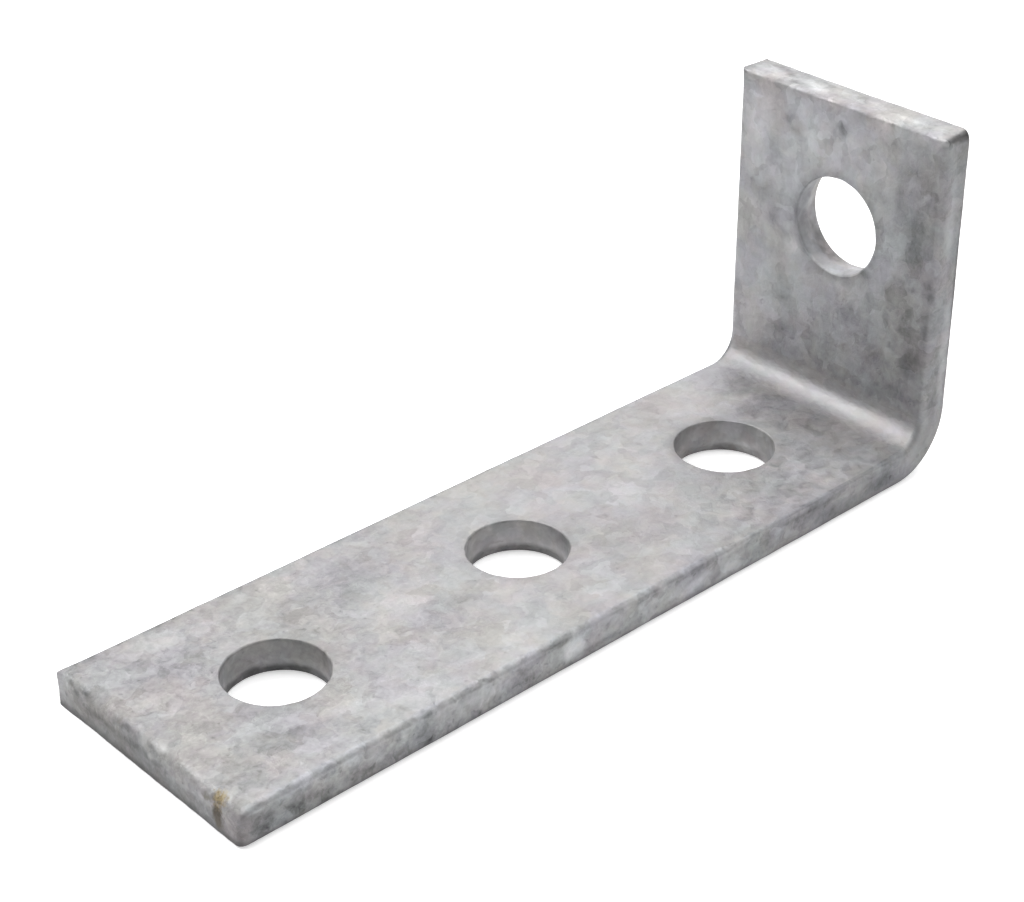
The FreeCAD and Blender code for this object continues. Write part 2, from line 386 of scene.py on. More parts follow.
# ---------------------------------------------------------------- tone as soft patches: mostly the zinc's own mottling, with painted highlight and painted shade among them near the bend and along the near edge
# place along the bar, across (or height, for the near edge), length, breadth, turn in degrees, how light (+) or dark (-)
UPPER = [
    (43, 10.6, 7.5, 4.0, 20, -0.75), (30, 8.5, 5.0, 2.6, -5, -0.45), (11, 10.5, 6.5, 2.6, 25, -0.55), (13, -12.0, 6.5, 2.2, -15, -0.85),
    (6, -15.5, 3.0, 2.0, 0, -0.45), (47, -4.8, 6.5, 2.8, 10, -0.50), (76, -5.5, 4.5, 5.5, 40, -0.45), (85, -8.5, 5.0, 3.0, 35, -0.30),
    (60, -18.2, 4.0, 1.6, 0, -0.55), (70, -17.8, 3.0, 1.6, 0, -0.45), (118, -12.6, 3.6, 2.2, 10, -0.35), (106, 11.6, 3.0, 2.6, 0, -0.45),
    # the dark patches at 123.5 to 125.5 along, just before the bend, are painted shade with some tarnish
    (115.5, 0.0, 8.0, 24.0, 0, 0.40), (124, 14.8, 4.5, 4.0, 0, -0.45), (125, 6.0, 3.2, 6.0, 0, -0.35), (125.5, -4.0, 3.2, 5.0, 0, -0.45), (123.5, -12.5, 4.2, 5.5, 15, -0.22),
    (19, -8.8, 4.0, 1.6, -35, -0.30), (29, -2.6, 3.0, 2.0, 0, -0.35), (33, 12.0, 2.5, 1.2, 10, -0.30), (54, 16.5, 5.0, 1.6, 15, -0.20),
    (93, -13.5, 4.0, 1.6, 20, -0.22), (89, 11.0, 3.0, 1.6, 30, -0.25), (40, -17.0, 3.0, 1.4, 0, -0.35), (22, -18.0, 4.0, 1.2, -10, -0.30),
    (43, 0.6, 10.0, 3.4, 3, 0.55), (13, 16.4, 5.5, 2.2, 0, 0.55), (87, 0.2, 5.0, 4.0, 20, 0.28), (56, -6.6, 3.0, 3.2, 0, 0.45), (4, 3.5, 3.0, 5.0, 0, 0.35),
    # the long light patch at 108 along, by the near edge, is a painted highlight
    (25, -13.6, 8.5, 1.8, -20, 0.50), (94, 5.6, 3.2, 2.6, 0, 0.35), (50, -15.0, 6.0, 2.2, 5, 0.40), (108, -18.8, 8.0, 1.4, 0, 0.75), (120.5, 8.0, 2.6, 2.6, 0, 0.55),
    # the light patches at 98 to 119 along, towards the near edge, are painted light in the shade by the bend
    (72, 12.0, 20.0, 6.0, 0, 0.22), (62, 5.0, 3.0, 2.4, 0, 0.30), (34, -16.5, 7.0, 1.8, 0, 0.35), (100, -10.0, 3.5, 2.4, 30, 0.30), (113.0, -14.5, 9.0, 4.0, 0, 0.50), (115.0, -12.0, 10.0, 7.5, 0, 0.65), (119.0, -18.0, 8.0, 2.5, 0, 0.40), (98.0, -14.5, 10.0, 4.0, 0, 0.48),
    (50.0, -17.4, 42.0, 2.4, 0, 0.34), (30.0, 3.0, 8.0, 14.0, 0, -0.12), (33.0, 15.0, 11.0, 3.5, 0, 0.26), (163.8, -13.5, 8.0, 3.5, 0, -0.20), (8, -8.0, 3.0, 3.4, 30, 0.30),
    # the short leg's inside, along the bar from the bend
    (178.0, 15.9, 4.6, 2.4, 0, 1.25), (177.0, 5.0, 2.2, 1.8, 0, 0.80), (179.6, -2.2, 1.8, 2.2, 0, 0.60), (175.0, 1.0, 1.6, 2.2, 20, 0.45), (181.0, 4.5, 2.0, 3.0, 0, 0.50),
    (162.4, 16.5, 1.6, 2.0, 0, 0.45), (158.0, 8.0, 1.3, 1.8, 0, 1.25), (174.2, -5.2, 0.8, 1.6, 30, 0.60), (160.5, -11.6, 5.0, 1.3, -32, 0.70), (164.3, -12.0, 1.8, 2.2, 0, 0.60),
    (156.5, -17.8, 4.5, 1.1, 0, 0.80), (154.5, -3.3, 1.4, 2.4, -15, 0.50), (150.0, 15.5, 4.0, 3.0, 0, 0.35), (168.5, 11.4, 2.2, 1.6, 0, 0.45), (170.0, 16.8, 1.8, 1.6, 0, 0.35),
    (179.3, 9.9, 0.7, 1.3, 20, -1.30), (177.7, 8.6, 0.9, 1.1, 30, -1.10), (180.9, -0.8, 1.1, 1.1, 0, -1.60), (176.0, -7.6, 0.8, 1.2, 40, -0.80), (173.0, 12.3, 1.0, 1.2, 0, -0.80),
    (173.0, -15.8, 7.0, 4.0, 0, -0.85), (172.8, -12.6, 2.8, 0.6, 0, -0.80), (177.2, -17.0, 1.6, 1.6, 30, -0.70), (166.5, -17.8, 2.6, 2.0, 0, -0.60), (165.0, 15.0, 2.0, 3.4, 0, -0.65),
    (161.6, 12.8, 1.0, 1.0, 0, -0.65), (158.6, -6.6, 0.7, 1.7, -30, -1.20), (150.8, -4.4, 1.5, 1.8, 0, -0.60), (148.4, 10.2, 0.7, 3.6, 12, -0.60), (142.6, 10.2, 1.1, 3.2, 12, -0.85),
    (140.2, -14.2, 1.6, 2.6, 0, -1.10), (146.4, -17.4, 2.6, 2.4, 0, -1.10), (145.0, -10.8, 1.8, 2.0, 0, -0.70), (143.0, 0.0, 3.6, 17.0, 0, 0.06), (144.5, 4.4, 1.2, 2.6, -20, -0.50),
    (183.4, 12.4, 0.5, 2.6, 0, -0.70), (183.2, -4.0, 0.5, 3.6, 0, -0.60), (181.0, -10.4, 1.0, 1.0, 0, -0.60), (169.0, -19.6, 1.4, 0.6, 0, -0.90), (156.0, 11.4, 1.0, 1.4, 0, -0.40),
    (167.0, 3.0, 22.0, 22.0, 0, 0.15), (176.0, 4.0, 8.0, 18.0, 0, 0.36), (154.0, -17.0, 8.0, 3.5, 0, -0.30), (162.0, -18.0, 24.0, 4.6, 0, -0.75), (152.6, 4.6, 2.6, 1.2, 30, 0.30), (147.5, -12.5, 1.2, 1.6, 0, 0.35),
]
NEAR = [
    (3.2, 3.0, 1.6, 1.6, 0, -0.75), (9.5, 2.6, 2.6, 1.3, 0, -0.55), (13.5, 2.6, 1.6, 1.4, 0, -0.40), (30.0, 3.0, 2.0, 1.8, 0, -0.65), (47.5, 3.0, 2.6, 1.6, 0, -0.55),
    # the thin dark patches at 5.1 high, at 52, 70 and 80.5 along, are a painted shade line under the upper arris
    (52.0, 5.1, 4.0, 0.5, 0, -0.70), (63.0, 1.9, 5.5, 0.6, 0, -0.70), (70.0, 5.1, 2.6, 0.45, 0, -0.75), (80.5, 5.1, 3.6, 0.45, 0, -0.80), (104.5, 4.0, 4.5, 1.4, 0, -0.60),
    (95.5, 3.8, 2.2, 1.2, 0, -0.35), (122.5, 3.0, 3.6, 1.8, 0, -0.80), (111.0, 2.0, 3.0, 1.2, 0, -0.30), (17.5, 4.5, 2.0, 0.8, 0, 0.50), (22.0, 3.4, 1.8, 1.2, 0, 0.45),
    (26.0, 4.2, 0.6, 1.8, 0, 0.60), (40.0, 4.0, 4.0, 1.2, 0, 0.45), (56.2, 3.2, 2.6, 1.7, 0, 1.10), (80.0, 2.6, 3.2, 0.9, 10, 1.10), (75.0, 3.0, 3.0, 1.0, 10, 0.45),
    (87.5, 2.4, 2.4, 1.2, 30, 0.60), (115.0, 4.4, 3.0, 1.2, 0, 0.55), (128.5, 3.2, 2.4, 1.6, 0, 0.30), (36.0, 2.4, 1.0, 0.8, 0, 0.50), (19.5, 2.4, 1.0, 0.7, 0, -0.45),
    # the long dark patch at 108 along is a painted shade line under the upper arris
    (4.0, 3.0, 9.0, 4.0, 0, -0.20), (112.0, 3.0, 9.0, 4.0, 0, -0.22), (122.0, 3.0, 12.0, 6.0, 0, -0.18), (18.0, 1.6, 22.0, 1.6, 0, -0.30), (108.0, 4.9, 16.0, 0.6, 0, -0.40), (160.0, 3.0, 26.0, 5.0, 0, -0.42), (65.0, 3.0, 9.0, 4.0, 0, 0.12),
    (150.0, 2.0, 9.0, 1.2, 0, 0.55), (170.0, 3.6, 8.0, 1.0, 0, 0.45), (160.0, 0.9, 14.0, 0.5, 0, -0.60), (181.0, 1.6, 3.0, 1.6, 0, -0.20), (141.0, 4.0, 4.0, 1.4, 0, -0.35),
]


START_FACE = [  # across, height
    (17.4, 5.0, 1.2, 0.6, 0, 0.70), (15.7, 4.6, 0.6, 0.35, 0, -0.90), (16.4, 1.1, 1.0, 0.3, 0, -0.80), (18.6, 2.6, 1.6, 1.2, 0, 0.35), (12.6, 3.4, 2.4, 1.3, 10, -0.45),
    (8.4, 3.6, 2.6, 1.2, 0, -0.40), (10.6, 5.2, 3.0, 0.6, 0, 0.30), (3.0, 3.6, 2.6, 0.9, 0, -0.35), (0.65, 5.1, 0.9, 0.3, 30, 1.20), (-2.6, 5.7, 1.3, 0.6, 0, 1.50),
    (-1.1, 3.7, 0.6, 0.5, 0, 1.10), (-3.6, 1.8, 2.0, 0.6, 0, -0.80), (-5.5, 4.9, 1.6, 0.8, 0, 0.50), (-7.0, 3.4, 1.2, 1.0, 0, 0.30), (-9.4, 4.6, 1.8, 0.6, 20, -0.30),
    (-9.5, 2.4, 2.2, 0.8, 0, 0.20), (-12.0, 4.4, 1.0, 1.2, 0, 0.25), (-13.9, 2.2, 0.8, 1.0, 0, -0.40), (-18.0, 3.6, 0.9, 1.4, 0, 0.40), (-19.9, 2.4, 0.5, 2.0, 0, -0.50),
    (5.8, 1.6, 3.4, 0.5, 0, -0.50), (13.2, 1.4, 2.0, 0.5, 0, -0.50), (6.4, 5.6, 1.0, 0.5, 0, 0.50), (-11.5, 5.6, 1.4, 0.5, 0, 0.45), (14.0, 5.9, 1.6, 0.5, 0, -0.35),
]
END_FACE = [  # across, through
    (15.2, 1.5, 1.7, 0.9, 0, -1.30), (12.8, 2.6, 1.2, 0.7, -35, -1.10), (10.4, 4.3, 1.0, 1.0, -50, -1.00), (14.1, 4.5, 1.3, 0.9, 0, 1.10), (5.9, 4.2, 1.7, 1.1, -20, 1.90),
    (7.6, 3.0, 1.0, 0.7, -30, 1.00), (6.9, 1.3, 1.3, 0.6, 0, -0.70), (18.0, 2.4, 1.2, 1.0, 0, -0.30), (19.4, 4.6, 0.8, 0.8, 0, -0.70), (-1.3, 2.0, 1.3, 0.9, 20, -0.70),
    (-2.6, 3.4, 1.0, 0.7, 0, -0.50), (1.0, 1.6, 0.8, 0.5, 0, -0.40), (0.0, 4.8, 2.0, 0.7, 0, 0.50), (-6.8, 1.7, 1.8, 0.7, 0, -0.40), (-8.2, 3.3, 1.0, 0.8, 0, -0.35),
    (-11.6, 3.8, 1.9, 0.8, -10, 1.10), (-12.3, 4.9, 2.6, 0.6, 0, 0.60), (-16.0, 1.8, 1.2, 0.6, 0, 0.40), (-17.5, 4.2, 1.2, 0.9, 0, 0.45), (-4.6, 5.0, 2.0, 0.4, 0, -0.40),
    (17.0, 5.4, 1.0, 0.4, 0, 0.60), (-18.6, 2.6, 0.6, 1.6, 0, -0.50), (2.8, 2.6, 1.2, 0.7, 0, 0.35), (-14.4, 2.6, 1.4, 0.6, 0, -0.35),
]


def lay(patches, x, y, seed):
    """The patches' sum, with ragged outlines."""
    q = np.column_stack([x, y, np.zeros(len(x))])
    jx = 1.8 * fbm(q / 5.0, 3, seed) + 0.5 * noise(q / 1.4, seed + 5)
    jy = 1.8 * fbm(q / 5.0 + 40, 3, seed + 9) + 0.5 * noise(q / 1.4 + 40, seed + 15)
    out = np.zeros(len(x))
    for pu, pv, ru, rv, turn, amount in patches:
        c, s_ = math.cos(math.radians(turn)), math.sin(math.radians(turn))
        k = min(1.0, min(ru, rv) / 2.5)
        du, dv = x + jx * k - pu, y + jy * k - pv
        d2 = ((du * c + dv * s_) / ru) ** 2 + ((-du * s_ + dv * c) / rv) ** 2
        out += amount * np.exp(-(d2**1.7))
    return out


upper = on_top & (d_long > -1)
side_near = in_wall & (v < -HALF + 1.2) & (d_hole > 2)
tone = np.zeros(len(B))
tone += np.where(upper & ~side_near, lay(UPPER, u, v, 201), 0)
tone += np.where(side_near, 2.2 * lay(NEAR, u, w, 231), 0)
# painted highlight: a pale line along the upper edge towards the viewer, along most of its length
near_arris_highlight = np.exp(-(((v - V_NEAR) / 0.95) ** 2)) * smooth(4.8, 5.3, w) * (u < LA) * (d_hole > 2)
tone += near_arris_highlight * (0.75 + 0.5 * noise(B / [4.0, 9, 9], 237)) * (1 - 0.7 * smooth(84, 92, u))
face_start = (d_start < 1.3) & (d_hole > 2)
face_end = (d_end < 0.9) & (d_hole > 2)
tone = np.where(face_start, 0.3 * tone + lay(START_FACE, v, w, 281), tone)
# the short leg's end face: its own patches, lighter overall, and lighter still towards its inner arris, which paints a
# highlight there
tone = np.where(face_end, 1.3 * lay(END_FACE, v, w, 285) + 0.42 + 0.75 * smooth(0.5, 4.5, w), tone)
# the other faces get patches of the same kinds, placed by number
rng = np.random.RandomState(7)
under = [(rng.uniform(0, LT), rng.uniform(-HALF, HALF), rng.uniform(2.5, 8), rng.uniform(2, 4.5), rng.uniform(-40, 40), rng.uniform(-0.9, 0.7)) for _ in range(80)]
tone += np.where(~on_top & ~side_near, lay(under, u, v, 251), 0)
farside = [(rng.uniform(0, LT), rng.uniform(0.5, 5.5), rng.uniform(1.5, 4), rng.uniform(0.8, 1.8), 0, rng.uniform(-0.8, 0.8)) for _ in range(60)]
side_far = in_wall & (v > HALF - 1.4) & (d_hole > 2)
tone = np.where(side_far, lay(farside, u, w, 271), tone)
# painted highlight along the inside of the bend, uneven
bend_highlight = bend_mid * on_top * smooth(0.2, 1.6, d_long)
tone += bend_highlight * (0.62 + 0.16 * noise(B / [2.6, 5.0, 3.0], 291) - 0.25 * smooth(4, 18, v) + 0.20 * smooth(0, -10, v))
attribute("tone", tone)

# shade: painted shade low down on the long leg's walls, on the short leg's near top corner and in thin lines along its
# edges, with the darker torn part of the start cut
shade = np.zeros(len(B))
# painted shade: darker low down on the long leg's walls and rolled edges, towards the floor
low = smooth(1.5, 0.6, w + 0.35 * noise(B / [3.0, 3.0, 1.2], 301))
shade += 0.30 * low * (in_wall | (d_long < 1.0)) * (d_hole > 2) * (u < LA + 6)
at_start_wall = np.exp(-((d_start / 0.9) ** 2))
line = 3.9 + 0.5 * noise(B / [9, 2.2, 9], 311) + 0.3 * noise(B / [9, 0.9, 9], 313) - 0.9 * smooth(2, -9, v) - 1.8 * smooth(17.0, 20.0, v)
shade += 0.34 * at_start_wall * smooth(0.55, -0.55, w - line) * (1 - 0.26 * smooth(1.0, -7.0, v) - 0.20 * smooth(4.0, 12.0, v))
# painted shade: a dark crescent on the rounded corner between the short leg's end and its near side
shade += 0.78 * np.exp(-(((d_end - 0.50) ** 2 + (v - V_NEAR - 0.45) ** 2) / 0.40)) * (w < 5.6)
# painted shade: a thin dark line on the inside face just below the end's arris
shade += 0.30 * np.exp(-(((d_end - 1.0 - 0.3 * noise(B / [9, 2.5, 9], 341)) / 0.32) ** 2)) * (w > 5.4) * smooth(-0.4, 0.2, noise(B / [9, 5.0, 9], 343))
# painted shade: a dark line along the near edge of the short leg's outer face
shade += 0.22 * np.exp(-(((v - V_NEAR) / 0.55) ** 2)) * smooth(1.6, 0.6, w) * (u > LA + LB)
attribute("shade", np.clip(shade, 0, 1))
# mottle: how strongly the zinc's own mottling shows. fleck: where thin pale veins and flecks show. dull: matt places
mottle = np.where(on_top & (u > LA + LB), 1.1, 0.9) + 0.0 * u
mottle = np.where(side_near, 1.20 - 0.28 * smooth(95, 115, u), mottle)
mottle = np.where(side_far, 1.2, mottle)
mottle = np.where(face_start, 1.1, mottle)
mottle = np.where(face_end, 1.4, mottle)
mottle = np.where(wall_hole, 0.8, mottle) * (1 - 0.58 * bend_mid * on_top)
attribute("mottle", mottle)
grain = 0.65 + 0.65 * smooth(85, 10, u)
grain = np.where(side_near, 0.9 + 0.4 * smooth(90, 30, u), grain)
attribute("grain", grain)
cool = np.where(on_top & (u > LA + LB), 0.9, 0.0)
cool = np.where(side_near | side_far, 0.9, cool)
attribute("cool", np.where(face_start | face_end, 0.0, cool))
fleck = 0.30 + 0.70 * smooth(85, 15, u)
fleck = np.where(u > LA + 2, 0.25, fleck)
fleck = np.where(side_near, 0.4 + 0.6 * smooth(100, 40, u), fleck)
fleck = np.where(face_start, 1.0, fleck)
fleck = np.where(wall_hole, 0.15, fleck)
attribute("fleck", fleck)
roll = np.exp(-((d_start / 2.2) ** 2)) * on_top
tip = np.exp(-((d_end / 1.6) ** 2)) * on_top * (w > 4.0)
corner = np.exp(-((np.hypot(u, v - V_NEAR) / 2.0) ** 2))
lip = np.exp(-(((d_hole - 0.3) / 0.5) ** 2)) * (d_hole < 5) * on_top
bend_inside = bend_mid * on_top
dull = roll * (0.95 + 0.6 * noise(B / [3, 1.6, 2.0], 321)) + tip * (1.0 + 0.8 * noise(B / [3, 2.0, 2.0], 323)) + 1.5 * corner + (0.8 + 1.0 * (u > 95)) * lip + 0.60 * bend_inside
attribute("dull", np.clip(dull, 0, 2.4))
attribute("bore", wall_hole.astype(float))
nearest = np.argmin([np.hypot(u - h[0], v - h[1]) for h in HOLES], axis=0)
# painted shade at the foot of each hole's wall, by the floor
foot_shade = np.array([0.54, 0.46, 0.20, 0.05])[nearest] * smooth(2.3, 1.3, w + 0.35 * noise(B / [1.6, 1.6, 3.0], 331))
# painted shade and highlight on the hole walls: a level for each hole, a band near the top, and in the short leg's hole
# darker towards the far edge and lighter towards the bend
wall_shade_and_highlight = np.array([0.08, -0.08, 0.0, -0.04])[nearest] + np.array([-0.03, 0.07, 0.08, 0.0])[nearest] * smooth(3.0, 5.0, w)
up_a = np.arctan2(v - HOLES[3][1], u - HOLES[3][0])
wall_shade_and_highlight += (nearest == 3) * (0.14 * np.clip(np.sin(up_a), 0, 1) - 0.30 * np.clip(-np.cos(up_a), 0, 1))
attribute("wall_shade_and_highlight", wall_shade_and_highlight + foot_shade)
attribute("rim", np.exp(-(((d_hole - 0.4) / 0.45) ** 2)) * (d_hole < 5) * on_top)

bracket = bpy.data.objects.new("galvanised_bracket", mesh)
bpy.context.scene.collection.objects.link(bracket)

# ---------------------------------------------------------------- zinc
mat = bpy.data.materials.new("galvanised_steel")
mat.use_nodes = True
nt = mat.node_tree
nt.nodes.clear()
out = nt.nodes.new("ShaderNodeOutputMaterial")
bsdf = nt.nodes.new("ShaderNodeBsdfPrincipled")
nt.links.new(bsdf.outputs[0], out.inputs[0])


def node(kind, **inputs):
    n = nt.nodes.new(kind)
    for k, val in inputs.items():
        n.inputs[k].default_value = val
    return n


att = nt.nodes.new("ShaderNodeAttribute")
att.attribute_name = "blank"
COORD = att.outputs["Vector"]


def noise_node(scale, detail=3.0, rough=0.55, where=None, offset=(0, 0, 0), stretch=(1, 1, 1)):
    m = nt.nodes.new("ShaderNodeMapping")
    m.inputs["Location"].default_value = offset
    m.inputs["Scale"].default_value = stretch
    nt.links.new(where or COORD, m.inputs["Vector"])
    n = nt.nodes.new("ShaderNodeTexNoise")
    n.inputs["Scale"].default_value = scale
    n.inputs["Detail"].default_value = detail
    n.inputs["Roughness"].default_value = rough
    nt.links.new(m.outputs[0], n.inputs["Vector"])
    return n.outputs["Fac"]


def remap(sock, a, b, c=0.0, d=1.0, clamp=True):
    n = nt.nodes.new("ShaderNodeMapRange")
    n.clamp = clamp
    for k, val in zip(("From Min", "From Max", "To Min", "To Max"), (a, b, c, d)):
        n.inputs[k].default_value = val
    nt.links.new(sock, n.inputs["Value"])
    return n.outputs[0]


def math_node(op, a, b=None):
    n = nt.nodes.new("ShaderNodeMath")
    n.operation = op
    for k, val in enumerate((a, b)):
        if val is None:
            continue
        if isinstance(val, (int, float)):
            n.inputs[k].default_value = val
        else:
            nt.links.new(val, n.inputs[k])
    return n.outputs[0]


def mix(fac, a, b):
    n = nt.nodes.new("ShaderNodeMix")
    n.data_type = "RGBA"
    for sock, val in ((n.inputs[0], fac), (n.inputs[6], a), (n.inputs[7], b)):
        if isinstance(val, (int, float)):
            sock.default_value = val
        elif isinstance(val, tuple):
            sock.default_value = val
        else:
            nt.links.new(val, sock)
    return n.outputs[2]


def read(name):
    n = nt.nodes.new("ShaderNodeAttribute")
    n.attribute_name = name
    return n.outputs["Fac"]


def vec(op, a, b=None):
    n = nt.nodes.new("ShaderNodeVectorMath")
    n.operation = op
    for k, val in enumerate((a, b)):
        if isinstance(val, tuple):
            n.inputs[k].default_value = val
        elif val is not None:
            nt.links.new(val, n.inputs[k])
    return n


def warp(scale, detail=2.0):
    """A wandering offset, -0.5 to 0.5 each way."""
    n = nt.nodes.new("ShaderNodeTexNoise")
    n.inputs["Scale"].default_value = scale
    n.inputs["Detail"].default_value = detail
    nt.links.new(COORD, n.inputs["Vector"])
    return vec("SUBTRACT", n.outputs["Color"], (0.5, 0.5, 0.5)).outputs[0]


def shifted(offset, amount):
    return vec("ADD", COORD, vec("MULTIPLY", offset, (amount, amount, amount)).outputs[0]).outputs[0]


WARP_FINE = warp(1.6)
WARP_MID = warp(0.55, 2.0)
WARP_WIDE = warp(0.20)


def spot(centre, radii, ragged=0.5, hard=0.25):
    """1 inside a ragged spot of the blank, 0 outside."""
    d = vec("DIVIDE", vec("SUBTRACT", shifted(WARP_FINE, 4 * ragged), centre).outputs[0], radii).outputs[0]
    return remap(vec("LENGTH", d).outputs["Value"], 1 + hard, 1 - hard)


def total(terms, base=1.0):
    """base + the sum of amount * (sock - middle)."""
    out = None
    for sock, middle, amount in terms:
        n = nt.nodes.new("ShaderNodeMath")
        n.operation = "MULTIPLY_ADD"
        nt.links.new(sock, n.inputs[0])
        n.inputs[1].default_value = amount
        if out is None:
            n.inputs[2].default_value = base - middle * amount
        else:
            k = math_node("ADD", out, -middle * amount)
            nt.links.new(k, n.inputs[2])
        out = n.outputs[0]
    return out


def colour_ramp(fac, stops):
    n = nt.nodes.new("ShaderNodeValToRGB")
    e = n.color_ramp.elements
    while len(e) > 1:
        e.remove(e[-1])
    e[0].position, e[0].color = stops[0]
    for pos, col in stops[1:]:
        x = e.new(pos)
        x.color = col
    nt.links.new(fac, n.inputs[0])
    return n.outputs[0]


MID = shifted(WARP_MID, 2.0)
WIDE = vec("ADD", MID, vec("MULTIPLY", WARP_WIDE, (6.0, 6.0, 6.0)).outputs[0]).outputs[0]
n7 = noise_node(0.150, 2, 0.55, WIDE, (31, 7, 3))
n3 = noise_node(0.34, 2, 0.5, WIDE, (5, 50, 9))
n1 = noise_node(0.80, 2, 0.5, MID, (15, 20, 29))
n05 = noise_node(2.1, 2, 0.6, COORD, (2, 8, 19))
streak = noise_node(0.7, 2, 0.6, MID, (2, 8, 19), (0.55, 1.5, 1.0))


def facets(scale, where, offset):
    """Small flat facets of zinc, each its own tone: its tone, a second number, and the distance from its middle."""
    m = nt.nodes.new("ShaderNodeMapping")
    m.inputs["Location"].default_value = offset
    nt.links.new(where, m.inputs["Vector"])
    c = nt.nodes.new("ShaderNodeTexVoronoi")
    c.inputs["Scale"].default_value = scale
    nt.links.new(m.outputs[0], c.inputs["Vector"])
    k = nt.nodes.new("ShaderNodeSeparateColor")
    nt.links.new(c.outputs["Color"], k.inputs[0])
    return k.outputs[0], k.outputs[1], c.outputs["Distance"]


big, big2, _ = facets(0.40, WIDE, (3, 1, 7))
dab, dab2, dabd = facets(0.95, MID, (13, 5, 2))
# thin pale veins, in places
ridge = math_node("ABSOLUTE", math_node("SUBTRACT", noise_node(0.42, 4, 0.68, MID, (71, 33, 5)), 0.5))
vein = math_node("MULTIPLY", remap(ridge, 0.030, 0.0), remap(n7, 0.46, 0.60))
# pale flecks and dark specks
fleck = math_node("MULTIPLY", remap(dabd, 0.34, 0.16), remap(dab2, 0.80, 0.86))
speck = math_node("MULTIPLY", remap(dabd, 0.30, 0.12), remap(dab2, 0.14, 0.08))

K_TONE, K7, K3, K1, K05, KBIG, KDAB, KSTREAK, KVEIN, KFLECK, KSPECK = 0.22, 0.12, 0.80, 0.66, 0.24, 0.20, 0.14, 0.28, 0.17, 0.16, 0.18
texture = total(
    [
        (n7, 0.5, K7),
        (n3, 0.5, K3),
        (big, 0.5, KBIG),
        (streak, 0.5, KSTREAK),
    ],
    0.0,
)
fine = total([(n1, 0.5, K1), (n05, 0.5, K05), (dab, 0.5, KDAB), (speck, 0.0, -KSPECK)], 0.0)
texture = math_node("ADD", texture, math_node("MULTIPLY", read("grain"), fine))
pale = math_node("MULTIPLY", read("fleck"), total([(vein, 0.0, KVEIN), (fleck, 0.0, KFLECK)], 0.0))
light = math_node("ADD", total([(read("tone"), 0.0, K_TONE)]), math_node("ADD", math_node("MULTIPLY", read("mottle"), texture), pale))
light = math_node("MULTIPLY", light, math_node("SUBTRACT", 1.0, math_node("ADD", read("shade"), math_node("MULTIPLY", read("dull"), 0.01))))
# hole walls: grey, with paler blobs of zinc, painted shade at the foot and painted shade and highlight set per hole
sepb = nt.nodes.new("ShaderNodeSeparateXYZ")
nt.links.new(COORD, sepb.inputs[0])
bore = read("bore")
blob = remap(noise_node(0.40, 2, 0.5, COORD, (7, 7, 1)), 0.46, 0.66, 0.0, 0.20)
wall_gain = math_node("SUBTRACT", blob, read("wall_shade_and_highlight"))
light = math_node("MULTIPLY", light, math_node("ADD", 1.0, math_node("MULTIPLY", bore, wall_gain)))
# a ring round each hole's mouth on the upper side, 3% lighter
light = math_node("MULTIPLY", light, math_node("ADD", 1.0, math_node("MULTIPLY", read("rim"), 0.03)))

BASE = 0.362
hue = total([(noise_node(0.12, 2, 0.5, WIDE, (90, 12, 4)), 0.5, 1.7), (noise_node(0.45, 2, 0.5, MID, (9, 2, 44)), 0.5, 0.8), (big2, 0.5, 0.22)], 0.5)
hue2 = total([(noise_node(0.15, 2, 0.5, WIDE, (30, 62, 4)), 0.5, 1.5), (noise_node(0.50, 2, 0.5, MID, (19, 2, 4)), 0.5, 0.9)], 0.5)
tint = colour_ramp(hue, [(0.22, (0.980, 0.990, 1.016, 1)), (0.5, (1.004, 0.994, 1.0, 1)), (0.78, (1.028, 0.997, 0.978, 1))])
tint2 = colour_ramp(hue2, [(0.25, (1.005, 0.974, 1.006, 1)), (0.5, (1.0, 0.993, 1.0, 1)), (0.75, (0.994, 1.008, 0.995, 1))])
grey = vec("SCALE", vec("MULTIPLY", tint, tint2).outputs[0])
nt.links.new(math_node("MULTIPLY", light, BASE), grey.inputs["Scale"])
colour = vec("MULTIPLY", grey.outputs[0], mix(read("cool"), (1.004, 1.0, 0.996, 1), (0.980, 0.999, 1.014, 1))).outputs[0]

# bare flecks of bright zinc and a few dark pits near the start end
bright = None
for c, r in (
    ((1.0, -2.6, 5.6), (1.0, 1.0, 0.5)),
    ((0.5, 0.6, 5.0), (1.0, 0.9, 0.40)),
    ((0.3, -1.1, 3.7), (0.8, 0.55, 0.5)),
    ((1.2, -16.2, 5.9), (0.6, 0.9, 0.5)),
    ((88.0, -20.3, 2.5), (1.6, 0.8, 0.4)),
):
    m = spot(c, r, 0.22, 0.6)
    bright = m if bright is None else math_node("MAXIMUM", bright, m)
colour = mix(math_node("MULTIPLY", bright, 0.60), colour, (0.52, 0.515, 0.51, 1))
pits = None
for c, r in (
    ((0.2, 15.7, 4.6), (0.8, 0.60, 0.38)),
    ((0.2, 16.4, 1.1), (0.8, 0.70, 0.25)),
    ((0.2, 18.4, 2.9), (0.8, 0.25, 0.35)),
    ((159.2, -19.9, 5.6), (1.0, 0.5, 0.6)),
):
    m = spot(c, r, 0.18, 0.5)
    pits = m if pits is None else math_node("MAXIMUM", pits, m)
colour = mix(math_node("MULTIPLY", pits, 0.60), colour, (0.12, 0.12, 0.125, 1))
